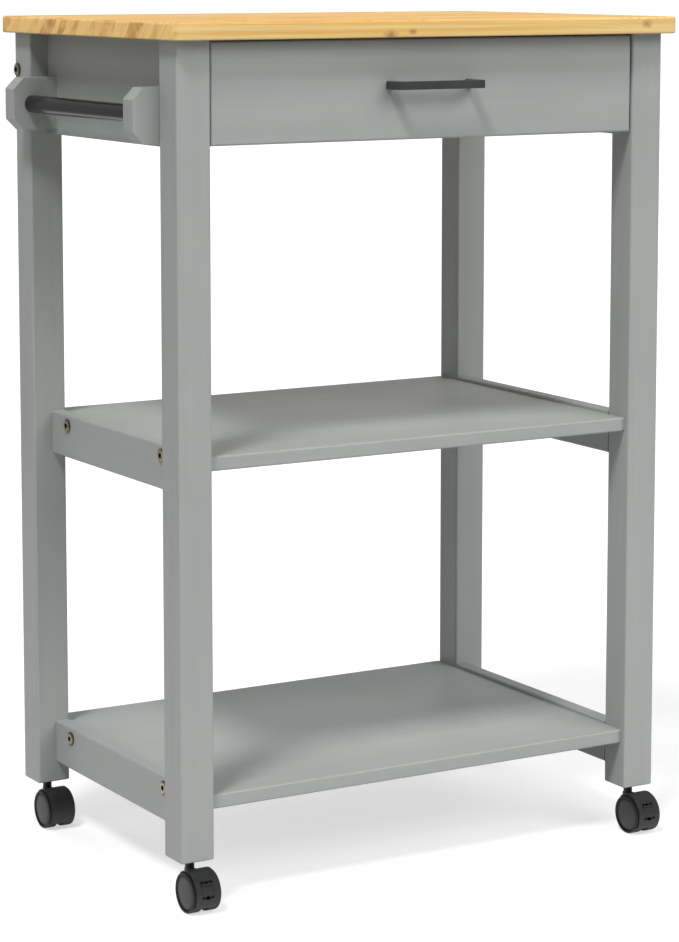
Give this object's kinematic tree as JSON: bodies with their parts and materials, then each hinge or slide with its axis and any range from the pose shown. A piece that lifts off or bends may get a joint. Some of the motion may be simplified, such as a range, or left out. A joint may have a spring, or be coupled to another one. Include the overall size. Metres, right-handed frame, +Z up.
{
  "type": "kitchen island cart",
  "caption": "Rolling kitchen island cart: pine worktop on a painted frame with a drawer, open shelves, a side towel rail and braked twin-wheel casters.",
  "frame": {"origin": "on the floor, under the middle of the whole cart's outline", "axes": "+Z up, +X to the right of someone facing the drawer, drawer opens towards -Y, towel rail on the -X side"},
  "size_m": [0.627, 0.422, 0.9],
  "materials": {
    "pine": "clear satin lacquer, glued staves",
    "painted_wood": "satin grey paint",
    "raw_pine": "unfinished, planed",
    "bolt_metal": "antique brass plating",
    "zinc_steel": "bright zinc plating",
    "slide_steel": "epoxy coated, off-white",
    "roller_plastic": "nylon",
    "black_metal": "black powder coat",
    "socket_plastic": "light grey nylon",
    "caster_plastic": "moulded black nylon",
    "wheel_plastic": "moulded black nylon"
  },
  "bodies": {
    "frame": {"tabletop": "pine", "leg_front_left": "painted_wood", "leg_front_right": "painted_wood", "leg_back_left": "painted_wood", "leg_back_right": "painted_wood", "side_apron_left": "painted_wood", "side_apron_right": "painted_wood", "back_apron": "painted_wood", "shelf_rail_middle_left": "painted_wood", "shelf_rail_middle_right": "painted_wood", "shelf_rail_bottom_left": "painted_wood", "shelf_rail_bottom_right": "painted_wood", "middle_shelf": "painted_wood", "bottom_shelf": "painted_wood", "towel_bracket_front": "painted_wood", "towel_bracket_back": "painted_wood", "frame_dowels": "raw_pine", "connector_bolts": "bolt_metal", "barrel_nuts": "bolt_metal", "top_brackets": "zinc_steel", "frame_screws": "zinc_steel", "towel_bar": "black_metal", "cabinet_slide_left": "slide_steel", "cabinet_slide_right": "slide_steel", "caster_sockets": "socket_plastic"},
    "drawer": {"drawer_front": "painted_wood", "drawer_side_left": "raw_pine", "drawer_side_right": "raw_pine", "drawer_back": "raw_pine", "drawer_bottom": "raw_pine", "drawer_dowels": "raw_pine", "drawer_handle": "black_metal", "handle_screws": "zinc_steel", "drawer_screws": "zinc_steel", "drawer_runner_left": "slide_steel", "drawer_runner_right": "slide_steel"},
    "cabinet_rollers": {"cabinet_rollers": "roller_plastic"},
    "drawer_rollers": {"drawer_rollers": "roller_plastic"},
    "caster_front_left": {"caster_hood_front_left": "caster_plastic", "caster_stem_front_left": "zinc_steel", "caster_axle_front_left": "zinc_steel"},
    "wheel_front_left_a": {"wheel_front_left_a": "wheel_plastic"},
    "wheel_front_left_b": {"wheel_front_left_b": "wheel_plastic"},
    "brake_front_left": {"brake_lever_front_left": "caster_plastic"},
    "caster_front_right": {"caster_hood_front_right": "caster_plastic", "caster_stem_front_right": "zinc_steel", "caster_axle_front_right": "zinc_steel"},
    "wheel_front_right_a": {"wheel_front_right_a": "wheel_plastic"},
    "wheel_front_right_b": {"wheel_front_right_b": "wheel_plastic"},
    "brake_front_right": {"brake_lever_front_right": "caster_plastic"},
    "caster_back_left": {"caster_hood_back_left": "caster_plastic", "caster_stem_back_left": "zinc_steel", "caster_axle_back_left": "zinc_steel"},
    "wheel_back_left_a": {"wheel_back_left_a": "wheel_plastic"},
    "wheel_back_left_b": {"wheel_back_left_b": "wheel_plastic"},
    "caster_back_right": {"caster_hood_back_right": "caster_plastic", "caster_stem_back_right": "zinc_steel", "caster_axle_back_right": "zinc_steel"},
    "wheel_back_right_a": {"wheel_back_right_a": "wheel_plastic"},
    "wheel_back_right_b": {"wheel_back_right_b": "wheel_plastic"}
  },
  "joints": [
    {"name": "drawer_slide", "type": "slide", "parent": "frame", "child": "drawer", "axis": [0, -1, 0], "range_m": [0, 0.225]},
    {"name": "cabinet_roller_spin", "type": "hinge", "parent": "frame", "child": "cabinet_rollers", "pos_m": [0.0095, -0.1535, 0.783], "axis": [1, 0, 0], "continuous": true},
    {"name": "drawer_roller_spin", "type": "hinge", "parent": "drawer", "child": "drawer_rollers", "pos_m": [0.0095, 0.122, 0.783], "axis": [1, 0, 0], "continuous": true},
    {"name": "swivel_front_left", "type": "hinge", "parent": "frame", "child": "caster_front_left", "pos_m": [-0.2655, -0.168, 0.04], "axis": [0, 0, 1], "continuous": true},
    {"name": "wheel_spin_front_left_a", "type": "hinge", "parent": "caster_front_left", "child": "wheel_front_left_a", "pos_m": [-0.2655, -0.1868, 0.021], "axis": [1, 0, 0], "continuous": true},
    {"name": "wheel_spin_front_left_b", "type": "hinge", "parent": "caster_front_left", "child": "wheel_front_left_b", "pos_m": [-0.2655, -0.1868, 0.021], "axis": [1, 0, 0], "continuous": true},
    {"name": "brake_front_left", "type": "hinge", "parent": "caster_front_left", "child": "brake_front_left", "pos_m": [-0.2655, -0.2023, 0.02], "axis": [1, 0, 0], "range_deg": [0, 15]},
    {"name": "swivel_front_right", "type": "hinge", "parent": "frame", "child": "caster_front_right", "pos_m": [0.2845, -0.168, 0.04], "axis": [0, 0, 1], "continuous": true},
    {"name": "wheel_spin_front_right_a", "type": "hinge", "parent": "caster_front_right", "child": "wheel_front_right_a", "pos_m": [0.2845, -0.1868, 0.021], "axis": [1, 0, 0], "continuous": true},
    {"name": "wheel_spin_front_right_b", "type": "hinge", "parent": "caster_front_right", "child": "wheel_front_right_b", "pos_m": [0.2845, -0.1868, 0.021], "axis": [1, 0, 0], "continuous": true},
    {"name": "brake_front_right", "type": "hinge", "parent": "caster_front_right", "child": "brake_front_right", "pos_m": [0.2845, -0.2023, 0.02], "axis": [1, 0, 0], "range_deg": [0, 15]},
    {"name": "swivel_back_left", "type": "hinge", "parent": "frame", "child": "caster_back_left", "pos_m": [-0.2655, 0.177, 0.04], "axis": [0, 0, 1], "continuous": true},
    {"name": "wheel_spin_back_left_a", "type": "hinge", "parent": "caster_back_left", "child": "wheel_back_left_a", "pos_m": [-0.2655, 0.1582, 0.021], "axis": [1, 0, 0], "continuous": true},
    {"name": "wheel_spin_back_left_b", "type": "hinge", "parent": "caster_back_left", "child": "wheel_back_left_b", "pos_m": [-0.2655, 0.1582, 0.021], "axis": [1, 0, 0], "continuous": true},
    {"name": "swivel_back_right", "type": "hinge", "parent": "frame", "child": "caster_back_right", "pos_m": [0.2845, 0.177, 0.04], "axis": [0, 0, 1], "continuous": true},
    {"name": "wheel_spin_back_right_a", "type": "hinge", "parent": "caster_back_right", "child": "wheel_back_right_a", "pos_m": [0.2845, 0.1582, 0.021], "axis": [1, 0, 0], "continuous": true},
    {"name": "wheel_spin_back_right_b", "type": "hinge", "parent": "caster_back_right", "child": "wheel_back_right_b", "pos_m": [0.2845, 0.1582, 0.021], "axis": [1, 0, 0], "continuous": true}
  ],
  "couplings": [
    {"joint": "cabinet_roller_spin", "follows": "drawer_slide", "rad_per_m": 181.82},
    {"joint": "drawer_roller_spin", "follows": "drawer_slide", "rad_per_m": 181.82}
  ]
}
